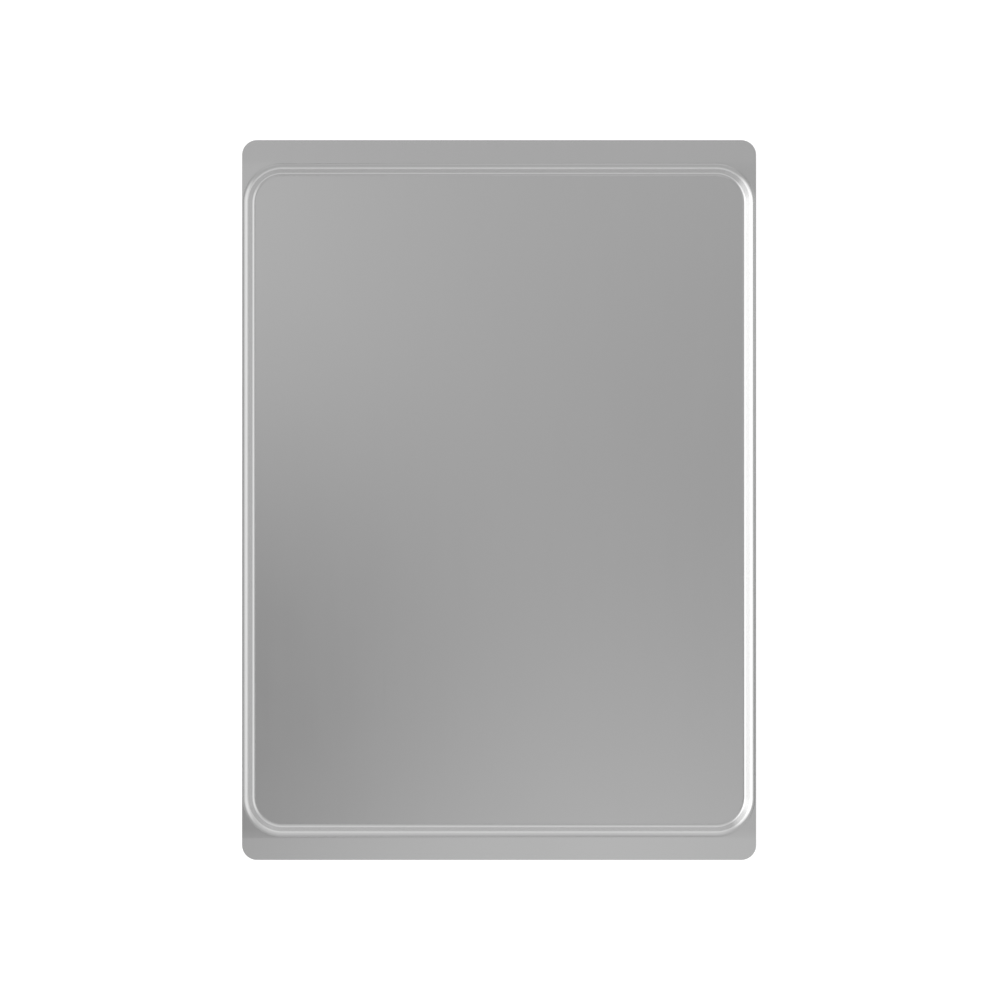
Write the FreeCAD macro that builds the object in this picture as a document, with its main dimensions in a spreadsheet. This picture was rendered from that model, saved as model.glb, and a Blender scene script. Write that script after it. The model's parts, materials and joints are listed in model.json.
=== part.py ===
import FreeCAD, Part
import math
import os

import Sketcher
from FreeCAD import Vector

doc = FreeCAD.newDocument("cookie_sheet")

# A satin stainless cookie sheet, pressed from three-ply clad metal. A flat baking panel lies in a
# shallow well, a sloped wall runs round it, and each short end has a grip that slopes down a little.
# +Z is up, +Y runs along the sheet, and the origin is under the middle of the base, where it rests.

# Driving sizes, in millimetres and, for the wall's slope, degrees.
DRIVING_SIZES = (
    ("sheet_width", "254", "outline across the long edges"),
    ("sheet_length", "355.6", "outline from grip to grip"),
    ("outline_corner", "7.5", "radius of the outline's four corners"),
    ("well_depth", "4.4", "rim down to the baking face"),
    ("wall_angle", "55", "slope of the well's wall, from level"),
    ("floor_bend", "2", "inside radius where the wall meets the panel, on the baking face"),
    ("rim_bend", "2", "inside radius where the wall meets the rim, on the underside"),
    ("panel_corner", "13.5", "corner radius of the flat panel"),
    ("rim_lip", "0.35", "level lip outside the wall, all round"),
    ("grip_reach", "11.1", "each grip, from the lip to the end of the sheet"),
    ("grip_fall", "0.33", "how far each grip slopes down, from the lip to the end of the sheet"),
    ("baking_gauge", "0.3", "thickness of the upper stainless ply"),
    ("core_gauge", "1", "thickness of the aluminium ply"),
    ("base_gauge", "0.3", "thickness of the lower stainless ply"),
    ("edge_round", "0.15", "deburred outer edge of each stainless ply"),
    ("trim_waste", "2", "metal outside the outline, which the trim cut takes off"),
)
sizes = doc.addObject("Spreadsheet::Sheet", "Sizes")
for row, (name, figure, note) in enumerate(DRIVING_SIZES, start=1):
    sizes.set("A%d" % row, note)
    sizes.set("B%d" % row, figure)
    sizes.setAlias("B%d" % row, name)
doc.recompute()

# Sizes that follow from the driving ones. Depths are measured down from the sheet's upper face.
DERIVED_SIZES = (
    ("face_depth", "0"),
    ("bond_depth", "face_depth + Sizes.baking_gauge"),
    ("core_depth", "bond_depth + Sizes.core_gauge"),
    ("thickness", "core_depth + Sizes.base_gauge"),
    ("rim_level", "thickness + Sizes.well_depth"),
    ("rim_outer_bend", "Sizes.rim_bend + thickness"),
    ("wall_run", "(Sizes.floor_bend + rim_outer_bend) * tan(Sizes.wall_angle / 2)"
                 " + Sizes.well_depth / tan(Sizes.wall_angle)"),
    ("blank_width", "Sizes.sheet_width + 2 * Sizes.trim_waste"),
    ("waste_width", "blank_width + 2 * Sizes.trim_waste"),
    ("waste_length", "Sizes.sheet_length + 4 * Sizes.trim_waste"),
    ("lip_length", "Sizes.sheet_length - 2 * Sizes.grip_reach"),
    ("blank_reach", "Sizes.grip_reach + Sizes.trim_waste"),
    ("blank_fall", "Sizes.grip_fall * blank_reach / Sizes.grip_reach"),
    ("wall_width", "Sizes.sheet_width - 2 * Sizes.rim_lip"),
    ("wall_length", "lip_length - 2 * Sizes.rim_lip"),
    ("wall_corner", "Sizes.panel_corner + wall_run"),
    ("panel_width", "wall_width - 2 * wall_run"),
    ("panel_length", "wall_length - 2 * wall_run"),
)
derived = doc.addObject("App::VarSet", "Derived")
for name, formula in DERIVED_SIZES:
    derived.addProperty("App::PropertyFloat", name)
    derived.setExpression(name, formula)
doc.recompute()


def size_of(name):
    """The present value of a size, such as Sizes.wall_angle or Derived.wall_run."""
    owner, prop = name.split(".")
    return float(getattr(doc.getObject(owner), prop))


def plane_of(body, role):
    """One of the body's own three planes."""
    return next(feature for feature in body.Origin.OriginFeatures if feature.Role == role)


def new_sketch(body, role, name):
    """An empty sketch on one of the body's own planes."""
    sketch = body.newObject("Sketcher::SketchObject", name)
    sketch.AttachmentSupport = [(plane_of(body, role), "")]
    sketch.MapMode = "FlatFace"
    return sketch


def fix(sketch, *terms):
    """A constraint with no size, such as a tangency."""
    sketch.addConstraint(Sketcher.Constraint(*terms))


def bind(sketch, name, formula, *terms):
    """A named dimension of a sketch, which follows a formula of the sheet's sizes."""
    index = sketch.addConstraint(Sketcher.Constraint(*terms))
    sketch.renameConstraint(index, name)
    sketch.setExpression("Constraints." + name, formula)


def arc(centre, radius, start, end):
    """An arc of a circle, anticlockwise, between two angles in degrees."""
    circle = Part.Circle(Vector(*centre), Vector(0, 0, 1), radius)
    return Part.ArcOfCircle(circle, math.radians(start), math.radians(end))


def line(start, end):
    """A straight line between two points of a sketch."""
    return Part.LineSegment(Vector(*start), Vector(*end))


def rounded_rectangle(sketch, prefix, width, length, radius):
    """A rectangle with round corners, centred on the sketch's origin."""
    corner = size_of(radius)
    half_x = size_of(width) / 2
    half_y = size_of(length) / 2
    in_x = half_x - corner
    in_y = half_y - corner
    first = sketch.GeometryCount
    sketch.addGeometry([
        line((half_x, -in_y), (half_x, in_y)),
        arc((in_x, in_y), corner, 0, 90),
        line((in_x, half_y), (-in_x, half_y)),
        arc((-in_x, in_y), corner, 90, 180),
        line((-half_x, in_y), (-half_x, -in_y)),
        arc((-in_x, -in_y), corner, 180, 270),
        line((-in_x, -half_y), (in_x, -half_y)),
        arc((in_x, -in_y), corner, 270, 360),
    ], False)
    loop = list(range(first, sketch.GeometryCount))
    right, back_right, back, back_left, left, front_left, front, front_right = loop
    for piece, following in zip(loop, loop[1:] + loop[:1]):
        fix(sketch, "Tangent", piece, 2, following, 1)
    for side in (right, left):
        fix(sketch, "Vertical", side)
    for end in (back, front):
        fix(sketch, "Horizontal", end)
    for other in (back_left, front_left, front_right):
        fix(sketch, "Equal", back_right, other)
    fix(sketch, "Symmetric", back_right, 3, front_left, 3, -1, 1)
    bind(sketch, prefix + "_corner", radius, "Radius", back_right, corner)
    bind(sketch, prefix + "_width", width, "DistanceX", left, 1, right, 2, 2 * half_x)
    bind(sketch, prefix + "_length", length, "DistanceY", front, 1, back, 2, 2 * half_y)


def plain_rectangle(sketch, prefix, width, length):
    """A rectangle with square corners, centred on the sketch's origin."""
    half_x = size_of(width) / 2
    half_y = size_of(length) / 2
    first = sketch.GeometryCount
    sketch.addGeometry([
        line((half_x, -half_y), (half_x, half_y)),
        line((half_x, half_y), (-half_x, half_y)),
        line((-half_x, half_y), (-half_x, -half_y)),
        line((-half_x, -half_y), (half_x, -half_y)),
    ], False)
    loop = list(range(first, sketch.GeometryCount))
    right, back, left, front = loop
    for piece, following in zip(loop, loop[1:] + loop[:1]):
        fix(sketch, "Coincident", piece, 2, following, 1)
    for side in (right, left):
        fix(sketch, "Vertical", side)
    for end in (back, front):
        fix(sketch, "Horizontal", end)
    fix(sketch, "Symmetric", right, 2, left, 2, -1, 1)
    bind(sketch, prefix + "_width", width, "DistanceX", left, 1, right, 2, 2 * half_x)
    bind(sketch, prefix + "_length", length, "DistanceY", front, 1, back, 1, 2 * half_y)


def level_layer(body, name, level, upper, lower):
    """A flat stretch of a ply, where the sheet's upper face lies at the level. Returns its outline."""
    sketch = new_sketch(body, "XY_Plane", name + "_outline")
    sketch.setExpression("AttachmentOffset.Base.z", "%s - %s" % (level, lower))
    pad = body.newObject("PartDesign::Pad", name)
    pad.Profile = sketch
    pad.setExpression("Length", "%s - %s" % (lower, upper))
    return sketch


def wall_section(body, upper, lower):
    """The wall's cross-section: a floor bend, a straight slope and a rim bend, between two depths."""
    sketch = new_sketch(body, "XZ_Plane", "wall_section")
    slope = size_of("Sizes.wall_angle")
    foot_x = size_of("Derived.panel_width") / 2
    rim_x = foot_x + size_of("Derived.wall_run")
    foot_centre = (foot_x, size_of("Derived.thickness") + size_of("Sizes.floor_bend"))
    rim_centre = (rim_x, size_of("Derived.rim_level") - size_of("Derived.rim_outer_bend"))
    for depth in (upper, lower):
        floor_bend = arc(foot_centre, size_of("Sizes.floor_bend") + size_of(depth), 270, 270 + slope)
        rim_bend = arc(rim_centre, size_of("Derived.rim_outer_bend") - size_of(depth), 90, 90 + slope)
        run = Part.LineSegment(floor_bend.EndPoint, rim_bend.EndPoint)
        sketch.addGeometry([floor_bend, run, rim_bend], False)
    upper_floor, upper_run, upper_rim, lower_floor, lower_run, lower_rim = range(6)
    foot = sketch.addGeometry(
        Part.LineSegment(sketch.Geometry[upper_floor].StartPoint, sketch.Geometry[lower_floor].StartPoint))
    head = sketch.addGeometry(
        Part.LineSegment(sketch.Geometry[upper_rim].StartPoint, sketch.Geometry[lower_rim].StartPoint))
    for floor_bend, run, rim_bend, end in ((upper_floor, upper_run, upper_rim, 1),
                                           (lower_floor, lower_run, lower_rim, 2)):
        fix(sketch, "Tangent", floor_bend, 2, run, 1)
        fix(sketch, "Tangent", run, 2, rim_bend, 2)
        fix(sketch, "Coincident", foot, end, floor_bend, 1)
        fix(sketch, "Coincident", head, end, rim_bend, 1)
    fix(sketch, "Coincident", upper_floor, 3, lower_floor, 3)
    fix(sketch, "Coincident", upper_rim, 3, lower_rim, 3)
    fix(sketch, "Vertical", foot)
    fix(sketch, "Vertical", head)
    fix(sketch, "Vertical", upper_floor, 3, upper_floor, 1)
    fix(sketch, "Vertical", upper_rim, 3, upper_rim, 1)
    for name, floor_bend, rim_bend, depth in (("upper", upper_floor, upper_rim, upper),
                                              ("lower", lower_floor, lower_rim, lower)):
        bind(sketch, name + "_floor_bend", "Sizes.floor_bend + " + depth,
             "Radius", floor_bend, sketch.Geometry[floor_bend].Radius)
        bind(sketch, name + "_rim_bend", "Derived.rim_outer_bend - " + depth,
             "Radius", rim_bend, sketch.Geometry[rim_bend].Radius)
    bind(sketch, "slope", "Sizes.wall_angle * 1 deg", "Angle", upper_run, math.radians(slope))
    bind(sketch, "foot_place", "Derived.panel_width / 2", "DistanceX", -1, 1, foot, 1, foot_x)
    bind(sketch, "foot_level", "Derived.thickness - " + upper,
         "DistanceY", -1, 1, foot, 1, sketch.Geometry[foot].StartPoint.y)
    bind(sketch, "rise", "Sizes.well_depth", "DistanceY", foot, 1, head, 1, size_of("Sizes.well_depth"))
    return sketch


def wall(body, upper, lower):
    """The low sloped wall, swept once round the edge of the flat panel."""
    path = new_sketch(body, "XY_Plane", "wall_path")
    rounded_rectangle(path, "panel", "Derived.panel_width", "Derived.panel_length", "Sizes.panel_corner")
    section = wall_section(body, upper, lower)
    doc.recompute()
    sweep = body.newObject("PartDesign::AdditivePipe", "wall")
    sweep.Profile = section
    sweep.Spine = (path, [])
    doc.recompute()


def panel(body, upper, lower):
    """The flat panel inside the wall."""
    outline = level_layer(body, "panel", "Derived.thickness", upper, lower)
    rounded_rectangle(outline, "panel", "Derived.panel_width", "Derived.panel_length", "Sizes.panel_corner")
    doc.recompute()


def lip(body, upper, lower):
    """The level lip outside the wall, as far as the line where the grips begin."""
    outline = level_layer(body, "lip", "Derived.rim_level", upper, lower)
    rounded_rectangle(outline, "wall", "Derived.wall_width", "Derived.wall_length", "Derived.wall_corner")
    plain_rectangle(outline, "lip", "Derived.blank_width", "Derived.lip_length")
    doc.recompute()


def grips(body, upper, lower):
    """The two grips, each a flat band that slopes down from the lip to the end of the sheet."""
    sketch = new_sketch(body, "YZ_Plane", "grip_section")
    start = size_of("Derived.lip_length") / 2
    end = start + size_of("Derived.blank_reach")
    upper_start = size_of("Derived.rim_level") - size_of(upper)
    lower_start = size_of("Derived.rim_level") - size_of(lower)
    fall = size_of("Derived.blank_fall")
    sketch.addGeometry([
        line((start, upper_start), (end, upper_start - fall)),
        line((end, upper_start - fall), (end, lower_start - fall)),
        line((end, lower_start - fall), (start, lower_start)),
        line((start, lower_start), (start, upper_start)),
    ], False)
    loop = list(range(sketch.GeometryCount))
    upper_face, outer_end, lower_face, inner_end = loop
    for piece, following in zip(loop, loop[1:] + loop[:1]):
        fix(sketch, "Coincident", piece, 2, following, 1)
    fix(sketch, "Vertical", inner_end)
    fix(sketch, "Vertical", outer_end)
    fix(sketch, "Parallel", upper_face, lower_face)
    bind(sketch, "start", "Derived.lip_length / 2", "DistanceX", -1, 1, upper_face, 1, start)
    bind(sketch, "reach", "Derived.blank_reach", "DistanceX", upper_face, 1, upper_face, 2, end - start)
    bind(sketch, "fall", "Derived.blank_fall", "DistanceY", upper_face, 2, upper_face, 1, fall)
    bind(sketch, "upper_level", "Derived.rim_level - " + upper,
         "DistanceY", -1, 1, inner_end, 2, upper_start)
    bind(sketch, "lower_level", "Derived.rim_level - " + lower,
         "DistanceY", -1, 1, inner_end, 1, lower_start)
    grip = body.newObject("PartDesign::Pad", "back_grip")
    grip.Profile = sketch
    grip.SideType = "Symmetric"
    grip.setExpression("Length", "Derived.blank_width")
    doc.recompute()
    both = body.newObject("PartDesign::Mirrored", "front_grip")
    both.Originals = [grip]
    both.MirrorPlane = (plane_of(body, "XZ_Plane"), [""])
    body.Tip = both
    doc.recompute()


def trim(body):
    """The trim cut, which leaves the outline with its round corners and upright edges."""
    sketch = new_sketch(body, "XY_Plane", "trim_outline")
    rounded_rectangle(sketch, "sheet", "Sizes.sheet_width", "Sizes.sheet_length", "Sizes.outline_corner")
    plain_rectangle(sketch, "blank", "Derived.waste_width", "Derived.waste_length")
    cut = body.newObject("PartDesign::Pocket", "trim")
    cut.Profile = sketch
    cut.Type = "ThroughAll"
    cut.SideType = "Symmetric"
    doc.recompute()


# Part of a direction that points up: next to none in a trimmed side's normal, little along its edges.
UPRIGHT_SHARE = 0.01
LEVEL_SHARE = 0.5
# A point counts as on a trimmed side when it lies within this part of the soft edge's radius.
TOUCH_SHARE = 0.1


def is_upright(face):
    """Whether a face stands on edge, as only the trimmed sides of a ply do."""
    u_start, u_end, v_start, v_end = face.ParameterRange
    normal = face.normalAt((u_start + u_end) / 2, (v_start + v_end) / 2)
    return abs(normal.z) < UPRIGHT_SHARE


def outline_edges(shape, inward):
    """The names of the outline's edges along one face; inward points from that face into the ply."""
    step = Vector(0, 0, inward * size_of("Sizes.edge_round"))
    sides = Part.Compound([face for face in shape.Faces if is_upright(face)])
    names = []
    for number, edge in enumerate(shape.Edges, start=1):
        middle = (edge.FirstParameter + edge.LastParameter) / 2
        beside = Part.Vertex(edge.valueAt(middle).add(step))
        is_level = abs(edge.tangentAt(middle).z) < LEVEL_SHARE
        if is_level and sides.distToShape(beside)[0] < step.Length * TOUCH_SHARE:
            names.append("Edge%d" % number)
    return names


def deburr(body, gauge, inward):
    """The soft edge along the outer face of a stainless ply, never deeper than half the ply."""
    base = body.Tip
    rounding = body.newObject("PartDesign::Fillet", "soft_edge")
    rounding.Base = (base, outline_edges(base.Shape, inward))
    rounding.setExpression("Radius", "min(Sizes.edge_round; %s / 2)" % gauge)
    doc.recompute()


def ply(label, upper, lower):
    """One bonded layer of the sheet, pressed and trimmed with the others."""
    body = doc.addObject("PartDesign::Body", label)
    body.Label = label
    wall(body, upper, lower)
    panel(body, upper, lower)
    lip(body, upper, lower)
    grips(body, upper, lower)
    trim(body)
    return body


baking_skin = ply("baking_skin", "Derived.face_depth", "Derived.bond_depth")
deburr(baking_skin, "Sizes.baking_gauge", -1)
aluminium_core = ply("aluminium_core", "Derived.bond_depth", "Derived.core_depth")
base_skin = ply("base_skin", "Derived.core_depth", "Derived.thickness")
deburr(base_skin, "Sizes.base_gauge", 1)
plies = (baking_skin, aluminium_core, base_skin)

for item in doc.Objects:
    if {"Invalid", "Error"} & set(item.State):
        raise RuntimeError("%s failed: %s" % (item.Label, item.getStatusString()))
for body in plies:
    if body.Shape.isNull() or not body.Shape.isValid() or len(body.Shape.Solids) != 1:
        raise RuntimeError("%s is not one sound solid" % body.Label)

os.makedirs("parts", exist_ok=True)
for body in plies:
    body.Shape.exportStep("parts/%s.step" % body.Label)
    box = body.Shape.optimalBoundingBox(True, False)
    print("%s: %.1f mm3, x %.2f to %.2f, y %.2f to %.2f, z %.2f to %.2f" % (
        body.Label, body.Shape.Volume, box.XMin, box.XMax, box.YMin, box.YMax, box.ZMin, box.ZMax))
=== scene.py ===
import json
import math

import bmesh
import bpy
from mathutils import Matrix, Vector


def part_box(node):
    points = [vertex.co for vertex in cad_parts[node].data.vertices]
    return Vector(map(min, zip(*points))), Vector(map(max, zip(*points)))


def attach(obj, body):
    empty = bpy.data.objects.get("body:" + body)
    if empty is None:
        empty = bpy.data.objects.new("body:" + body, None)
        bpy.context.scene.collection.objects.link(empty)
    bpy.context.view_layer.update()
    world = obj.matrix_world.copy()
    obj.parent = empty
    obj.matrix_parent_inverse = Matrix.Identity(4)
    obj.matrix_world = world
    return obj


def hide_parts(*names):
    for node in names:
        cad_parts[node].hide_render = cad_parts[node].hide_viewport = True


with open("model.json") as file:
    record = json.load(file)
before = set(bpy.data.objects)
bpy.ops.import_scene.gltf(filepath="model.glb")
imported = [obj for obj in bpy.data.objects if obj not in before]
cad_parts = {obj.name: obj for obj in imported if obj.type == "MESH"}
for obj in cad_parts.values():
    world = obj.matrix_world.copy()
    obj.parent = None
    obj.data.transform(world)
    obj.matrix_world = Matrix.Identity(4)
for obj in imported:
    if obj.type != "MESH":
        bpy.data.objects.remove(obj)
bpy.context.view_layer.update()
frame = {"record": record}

# The baking skin is the upper ply of the clad sheet, 0.3 mm satin stainless steel. It is roll bonded
# to the aluminium, pressed with it into a shallow well with a sloped wall, and trimmed in one cut.
MM = 0.001
skin_low, skin_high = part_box("baking_skin")
sheet_width = skin_high.x - skin_low.x
sheet_length = skin_high.y - skin_low.y
thickness = next(m["pos_m"][2] for m in frame["record"]["mounts"] if m["name"] == "baking_face")
bond_depth = thickness - skin_low.z

well_depth = 4.4 * MM
wall_slope = math.radians(55)
floor_bend = 2 * MM
rim_bend = 3.6 * MM
panel_corner = 13.5 * MM
outline_corner = 7.5 * MM
rim_lip = 0.35 * MM
grip_reach = 11.1 * MM
grip_fall = 0.33 * MM
edge_round = 0.15 * MM

wall_run = (floor_bend + rim_bend) * math.tan(wall_slope / 2) + well_depth / math.tan(wall_slope)
lip_half_length = sheet_length / 2 - grip_reach
wall_width = sheet_width - 2 * rim_lip
wall_length = 2 * (lip_half_length - rim_lip)

# A narrow flat strip beside each bend and soft edge keeps the shading of the flats level. The crease
# where a grip begins is softer: its shading spreads further, most of all into the sheet's corners.
guard = 0.05 * MM
crease_inside = 4 * MM
crease_outside = 0.5 * MM
wall_corner = panel_corner + wall_run + guard
wall_corner_centre = (wall_width / 2 + guard - wall_corner, wall_length / 2 + guard - wall_corner)
outline_corner_centre = (sheet_width / 2 - outline_corner, sheet_length / 2 - outline_corner)
corner_steps = 24
bend_steps = 10
edge_steps = 3
sharpest_smooth = math.radians(30)


def pressed_face(depth):
    """One face of the pressed sheet, at a depth below its upper face: an open mesh that looks up."""
    bpy.ops.object.select_all(action="DESELECT")
    bpy.ops.mesh.primitive_plane_add(size=1, location=(0, 0, 0))
    face = bpy.context.object
    bpy.ops.object.mode_set(mode="EDIT")
    bpy.ops.transform.resize(value=(wall_width + 2 * guard, wall_length + 2 * guard, 1))
    bpy.ops.transform.translate(value=(0, 0, thickness + well_depth - depth))
    bpy.ops.mesh.bevel(affect="VERTICES", offset=wall_corner, segments=corner_steps)

    # The well: the rim's outline is inset in small steps down the wall, and what is left is the panel.
    path = [(-guard, 0)]
    for step in range(bend_steps + 1):
        angle = wall_slope * step / bend_steps
        radius = rim_bend - depth
        path.append((radius * math.sin(angle), radius * (1 - math.cos(angle))))
    for step in range(bend_steps, -1, -1):
        angle = wall_slope * step / bend_steps
        radius = floor_bend + depth
        path.append((wall_run - radius * math.sin(angle), well_depth - radius * (1 - math.cos(angle))))
    path.append((wall_run + guard, well_depth))
    for (start, high), (end, low) in zip(path, path[1:]):
        bpy.ops.mesh.inset(thickness=end - start, depth=high - low, use_even_offset=True)

    # The lip and the grips: the rim's outer edge is extruded to the trimmed outline, corner by corner,
    # in two steps, so that the soft edge which follows leaves the flats level.
    bpy.ops.mesh.select_mode(type="EDGE")
    bpy.ops.mesh.select_all(action="DESELECT")
    bpy.ops.mesh.select_non_manifold()
    centre, radius = wall_corner_centre, wall_corner
    for corner in (outline_corner - edge_round - guard, outline_corner):
        bpy.ops.mesh.extrude_edges_move()
        mesh = bmesh.from_edit_mesh(face.data)
        for vertex in mesh.verts:
            if vertex.select:
                for axis in (0, 1):
                    beyond = (abs(vertex.co[axis]) - centre[axis]) * corner / radius
                    vertex.co[axis] = math.copysign(outline_corner_centre[axis] + beyond, vertex.co[axis])
        centre, radius = outline_corner_centre, corner

    # Each grip slopes down from the rim. Cuts on both sides of the crease hold its soft shading.
    for end in (-1, 1):
        for beside in (-crease_inside, 0, crease_outside):
            bpy.ops.mesh.select_all(action="SELECT")
            place = end * (lip_half_length + beside)
            bpy.ops.mesh.bisect(plane_co=(0, place, 0), plane_no=(0, 1, 0))
    mesh = bmesh.from_edit_mesh(face.data)
    for vertex in mesh.verts:
        beyond = abs(vertex.co.y) - lip_half_length
        if beyond > 0:
            vertex.co.z -= grip_fall * beyond / grip_reach
    bmesh.update_edit_mesh(face.data)
    bpy.ops.object.mode_set(mode="OBJECT")
    return face


def bonded_ply(name, upper_depth, lower_depth):
    """One ply: its upper and lower faces, joined along the trimmed outline."""
    lower = pressed_face(lower_depth)
    piece = pressed_face(upper_depth)
    piece.name = name
    lower.select_set(True)
    bpy.ops.object.join()
    bpy.ops.object.mode_set(mode="EDIT")
    bpy.ops.mesh.select_mode(type="EDGE")
    bpy.ops.mesh.select_all(action="DESELECT")
    bpy.ops.mesh.select_non_manifold()
    bpy.ops.mesh.bridge_edge_loops()
    bpy.ops.mesh.select_all(action="SELECT")
    bpy.ops.mesh.normals_make_consistent(inside=False)
    bpy.ops.object.mode_set(mode="OBJECT")
    return piece


def soften_outline(piece, side):
    """Rounds the trimmed outline where it meets the piece's upper face (1) or lower face (-1)."""
    nearly_upright = 0.1
    nearly_level = 0.9
    bpy.ops.object.mode_set(mode="EDIT")
    bpy.ops.mesh.select_mode(type="EDGE")
    bpy.ops.mesh.select_all(action="DESELECT")
    mesh = bmesh.from_edit_mesh(piece.data)
    for edge in mesh.edges:
        upright, level = sorted(side * face.normal.z for face in edge.link_faces)
        if abs(upright) < nearly_upright and level > nearly_level:
            edge.select_set(True)
    bmesh.update_edit_mesh(piece.data)
    bpy.ops.mesh.bevel(offset=edge_round, segments=edge_steps)
    bpy.ops.object.mode_set(mode="OBJECT")


def finish_shape(piece):
    """Smooths the shading of the piece just made, and fixes the piece to the sheet's one body."""
    bpy.ops.object.shade_smooth_by_angle(angle=sharpest_smooth)
    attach(piece, "root")


def linear(colour):
    """An sRGB hex colour as linear red, green, blue and alpha."""
    parts = [int(colour[i:i + 2], 16) / 255 for i in (1, 3, 5)]
    return [p / 12.92 if p <= 0.04045 else ((p + 0.055) / 1.055) ** 2.4 for p in parts] + [1]


def add_node(tree, kind, inputs=None, **settings):
    """Adds a node with its settings; an input is a value, or the output socket that it is linked to."""
    node = tree.nodes.new(kind)
    for name, value in settings.items():
        setattr(node, name, value)
    for name, value in (inputs or {}).items():
        if isinstance(value, bpy.types.NodeSocket):
            tree.links.new(value, node.inputs[name])
        else:
            node.inputs[name].default_value = value
    return node


def new_material(name):
    """A material with an empty node tree."""
    material = bpy.data.materials.new(name)
    material.use_nodes = True
    material.node_tree.nodes.clear()
    return material


def satin_stainless(name, colour, roughness):
    """Stainless steel with a fine satin roll finish along the sheet: it mirrors only broad soft light,
    in even grey, with faint long streaks and slight clouds where the finish is denser."""
    material = new_material(name)
    tree = material.node_tree
    place = add_node(tree, "ShaderNodeTexCoord").outputs["Object"]

    # The real grain is about 0.1 mm wide. It is drawn 0.7 mm wide and 70 mm long, so that it shows at all.
    grain_size = (0.7 * MM, 70 * MM, 0.7 * MM)
    grain_depth = 0.01 * MM
    groove_tone = 0.98
    grain_place = add_node(tree, "ShaderNodeMapping", {
        "Vector": place, "Scale": [1 / size for size in grain_size]})
    grain = add_node(tree, "ShaderNodeTexNoise", {
        "Vector": grain_place.outputs["Vector"], "Scale": 1, "Detail": 3, "Roughness": 0.6})

    # Clouds about 45 mm across, where the satin is a little denser.
    cloud_size = 45 * MM
    cloud = add_node(tree, "ShaderNodeTexNoise", {
        "Vector": place, "Scale": 1 / cloud_size, "Detail": 2, "Roughness": 0.5})

    # Grooves are a little darker than the metal between them. Grain and clouds both vary the dullness.
    unevenness = 0.006
    both = add_node(tree, "ShaderNodeMath", {
        0: grain.outputs["Fac"], 1: cloud.outputs["Fac"]}, operation="ADD")
    tone = add_node(tree, "ShaderNodeValToRGB", {"Fac": grain.outputs["Fac"]})
    tone.color_ramp.elements[0].position = 0.25
    tone.color_ramp.elements[1].position = 0.75
    tone.color_ramp.elements[0].color = [groove_tone * part for part in linear(colour)[:3]] + [1]
    tone.color_ramp.elements[1].color = linear(colour)
    dullness = add_node(tree, "ShaderNodeMapRange", {
        "Value": both.outputs["Value"], "From Min": 0.7, "From Max": 1.3,
        "To Min": roughness - unevenness, "To Max": roughness + unevenness})
    relief = add_node(tree, "ShaderNodeBump", {
        "Height": grain.outputs["Fac"], "Strength": 0.07, "Distance": grain_depth})
    shader = add_node(tree, "ShaderNodeBsdfPrincipled", {
        "Base Color": tone.outputs["Color"], "Metallic": 1, "Roughness": dullness.outputs["Result"],
        "Normal": relief.outputs["Normal"]})
    add_node(tree, "ShaderNodeOutputMaterial", {"Surface": shader.outputs["BSDF"]})
    return material


baking_skin = bonded_ply("satin_baking_skin", 0, bond_depth)
soften_outline(baking_skin, 1)
finish_shape(baking_skin)
baking_skin.data.materials.append(satin_stainless("satin_stainless_baking_face", "#cdcdcd", 0.2))
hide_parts("baking_skin")

# The core is the thick middle ply, 1 mm of soft aluminium that spreads the heat. The steel on both
# sides covers it, so it shows only as a paler band in the trimmed edge.
core_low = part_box("aluminium_core")[0]
core_depth = thickness - core_low.z


def sheared_aluminium(name, colour):
    """Bare aluminium where the trim die cut it: pale, dull and streaked down the cut."""
    material = new_material(name)
    tree = material.node_tree
    place = add_node(tree, "ShaderNodeTexCoord").outputs["Object"]

    # Shear marks about 0.4 mm apart, which run the whole height of the cut.
    mark_size = (0.4 * MM, 0.4 * MM, 4 * MM)
    mark_depth = 0.03 * MM
    mark_place = add_node(tree, "ShaderNodeMapping", {
        "Vector": place, "Scale": [1 / size for size in mark_size]})
    marks = add_node(tree, "ShaderNodeTexNoise", {
        "Vector": mark_place.outputs["Vector"], "Scale": 1, "Detail": 2})
    dullness = add_node(tree, "ShaderNodeMapRange", {
        "Value": marks.outputs["Fac"], "From Min": 0.3, "From Max": 0.7, "To Min": 0.38, "To Max": 0.55})
    relief = add_node(tree, "ShaderNodeBump", {
        "Height": marks.outputs["Fac"], "Strength": 0.4, "Distance": mark_depth})
    shader = add_node(tree, "ShaderNodeBsdfPrincipled", {
        "Base Color": linear(colour), "Metallic": 1, "Roughness": dullness.outputs["Result"],
        "Normal": relief.outputs["Normal"]})
    add_node(tree, "ShaderNodeOutputMaterial", {"Surface": shader.outputs["BSDF"]})
    return material


aluminium_core = bonded_ply("sheared_aluminium_core", bond_depth, core_depth)
finish_shape(aluminium_core)
aluminium_core.data.materials.append(sheared_aluminium("sheared_aluminium_edge", "#e4e4e2"))
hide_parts("aluminium_core")

# The base skin is the lower ply, 0.3 mm stainless steel like the upper one. It lies on the oven rack,
# and its trimmed edge is softened underneath so that it doesn't cut the hand.
base_skin = bonded_ply("satin_base_skin", core_depth, thickness)
soften_outline(base_skin, -1)
finish_shape(base_skin)
base_skin.data.materials.append(satin_stainless("satin_stainless_base", "#c8c8c8", 0.34))
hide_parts("base_skin")

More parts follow.
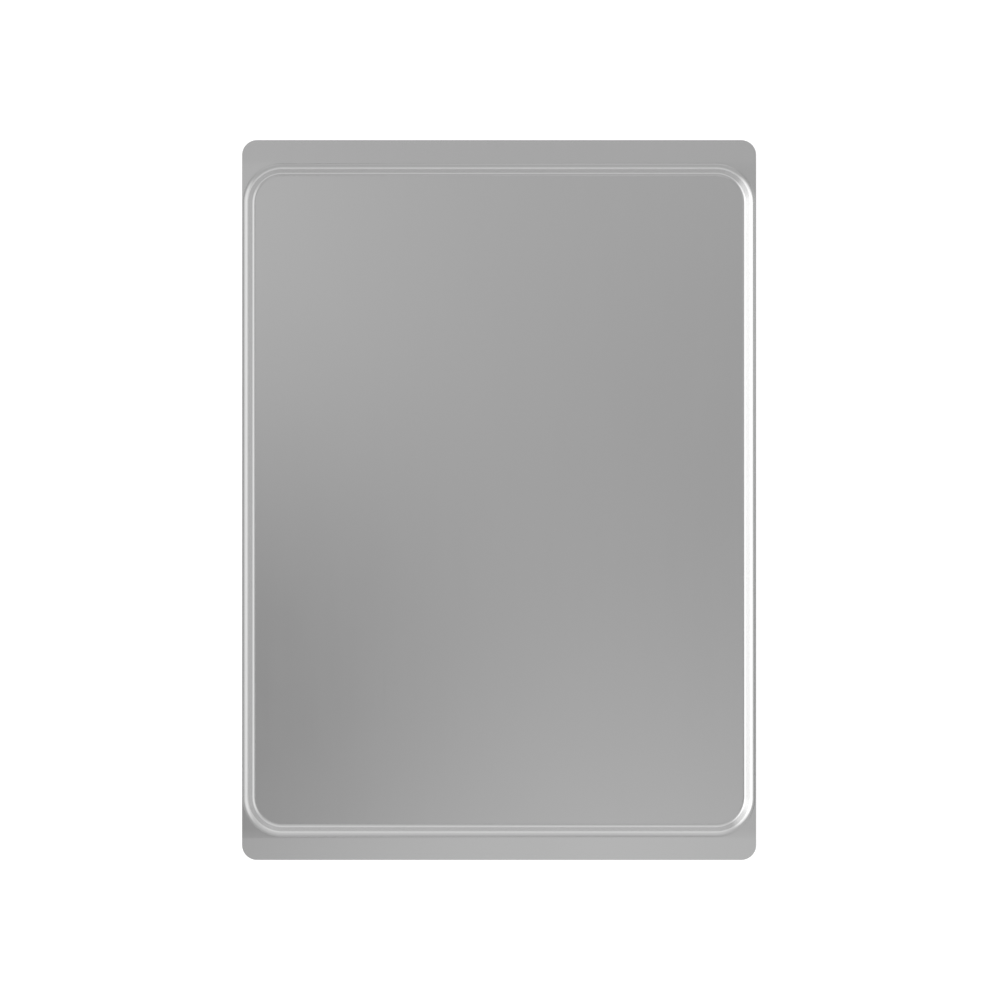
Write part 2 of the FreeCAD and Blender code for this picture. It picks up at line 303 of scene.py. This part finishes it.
# The studio: a white floor under the sheet and a pale room of soft light all round it. Two large light
# panels stand on the left and lesser ones on the right and beyond the far end, and the ceiling is dim.
floor_size = 8
floor_gap = 0.05 * MM
bpy.ops.object.select_all(action="DESELECT")
bpy.ops.mesh.primitive_plane_add(size=floor_size, location=(0, 0, -floor_gap))
floor = bpy.context.object
floor.name = "studio_floor"
white_floor = new_material("white_studio_floor")
floor_shader = add_node(white_floor.node_tree, "ShaderNodeBsdfPrincipled", {
    "Base Color": linear("#a0a0a0"), "Roughness": 0.8, "Emission Color": linear("#ffffff"),
    "Emission Strength": 0.85})
add_node(white_floor.node_tree, "ShaderNodeOutputMaterial", {"Surface": floor_shader.outputs["BSDF"]})
floor.data.materials.append(white_floor)

room = bpy.data.worlds.new("pale_room")
room.use_nodes = True
room.node_tree.nodes.clear()
toward = add_node(room.node_tree, "ShaderNodeTexCoord").outputs["Generated"]

# A soft patch of the room has the direction of its middle, the angle from there within which it is full
# and the one beyond which it is gone, in degrees, and the light that it adds to the walls or takes away.
soft_patches = (
    ((0, 0, 1), 45, 85, -0.44),             # the dim ceiling
    ((-1, 0.4, 0.4), 14, 40, 0.95),         # the panels on the left
    ((-1, -0.15, 0.4), 14, 40, 0.95),
    ((1, 0.05, 0.9), 5, 32, 0.75),          # the panel on the right
    ((0.15, 1, 0.8), 8, 42, 0.27),          # the panel beyond the far end
    ((-0.15, 0.05, 1), 0, 8, 0.4),          # lighter and darker places on the ceiling,
    ((-0.125, -0.07, 1), 0, 7.5, -0.7),     # which the flat panel and the grips mirror
    ((0.01, -0.18, 1), 0, 9, 0.35),
    ((0.135, 0, 1), 0, 8, -0.2))
glow = 1.2
for middle, full, gone, light in soft_patches:
    beside = add_node(room.node_tree, "ShaderNodeVectorMath", {
        0: toward, 1: Vector(middle).normalized()}, operation="DOT_PRODUCT")
    patch = add_node(room.node_tree, "ShaderNodeMapRange", {
        "Value": beside.outputs["Value"], "From Min": math.cos(math.radians(gone)),
        "From Max": math.cos(math.radians(full)), "To Min": 0, "To Max": light},
        interpolation_type="SMOOTHSTEP")
    glow = add_node(room.node_tree, "ShaderNodeMath", {
        0: glow, 1: patch.outputs["Result"]}, operation="ADD").outputs["Value"]
sky = add_node(room.node_tree, "ShaderNodeBackground", {"Strength": glow})
add_node(room.node_tree, "ShaderNodeOutputWorld", {"Surface": sky.outputs["Background"]})
bpy.context.scene.world = room

# The camera hangs straight above the sheet, which lies a pixel left of the picture's middle. The picture
# is 1000 pixels wide, 0.4937 mm each at the rim.
picture_width = 493.7 * MM
camera_height = 1.6
camera_aside = 0.45 * MM
lens = bpy.data.cameras.new("overhead_camera")
lens.sensor_width = 36
lens.lens = lens.sensor_width * (camera_height - skin_high.z) / picture_width
camera = bpy.data.objects.new("overhead_camera", lens)
bpy.context.collection.objects.link(camera)
camera.location = (camera_aside, 0, camera_height)
bpy.context.scene.camera = camera
bpy.context.scene.view_settings.view_transform = "Standard"
